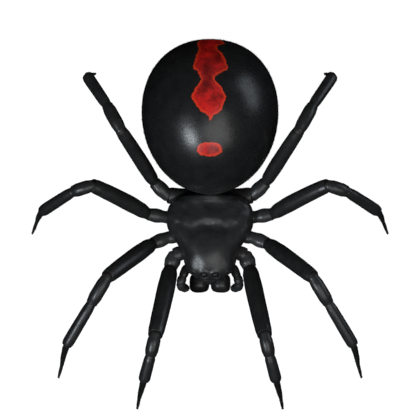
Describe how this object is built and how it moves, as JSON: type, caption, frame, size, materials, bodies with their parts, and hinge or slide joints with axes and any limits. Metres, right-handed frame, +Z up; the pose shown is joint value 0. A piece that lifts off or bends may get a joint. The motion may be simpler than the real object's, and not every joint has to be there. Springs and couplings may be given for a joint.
{
  "type": "black widow spider",
  "caption": "Life-size still model of an adult female black widow spider, standing on the floor with its legs spread, glossy black with red marks along the back.",
  "frame": {"origin": "on the floor, under the middle of the whole spider's length and width", "axes": "-Y is the way the head points, +Y runs to the back of the abdomen, +X is the spider's own left side as seen from above with the head towards the viewer, +Z is up"},
  "size_m": [0.0186, 0.0191, 0.0083],
  "materials": {
    "shell_cuticle": "glossy black cuticle of the head and thorax, with a soft sheen",
    "abdomen_skin": "glossy black skin with very fine grain, and bright red marks in the scene",
    "leg_cuticle": "glossy black cuticle with fine short hairs",
    "eye_lens": "polished dark lens",
    "fang": "smooth dark red-brown"
  },
  "bodies": {
    "root": {"prosoma": "shell_cuticle", "pedicel": "shell_cuticle", "chelicera_left": "shell_cuticle", "chelicera_right": "shell_cuticle", "abdomen": "abdomen_skin", "spinnerets": "abdomen_skin", "leg_1_left": "leg_cuticle", "leg_1_right": "leg_cuticle", "leg_2_left": "leg_cuticle", "leg_2_right": "leg_cuticle", "leg_3_left": "leg_cuticle", "leg_3_right": "leg_cuticle", "leg_4_left": "leg_cuticle", "leg_4_right": "leg_cuticle", "pedipalp_left": "leg_cuticle", "pedipalp_right": "leg_cuticle", "eye_anterior_median_left": "eye_lens", "eye_anterior_median_right": "eye_lens", "eye_anterior_lateral_left": "eye_lens", "eye_anterior_lateral_right": "eye_lens", "eye_posterior_median_left": "eye_lens", "eye_posterior_median_right": "eye_lens", "eye_posterior_lateral_left": "eye_lens", "eye_posterior_lateral_right": "eye_lens", "fang_left": "fang", "fang_right": "fang"}
  },
  "joints": []
}
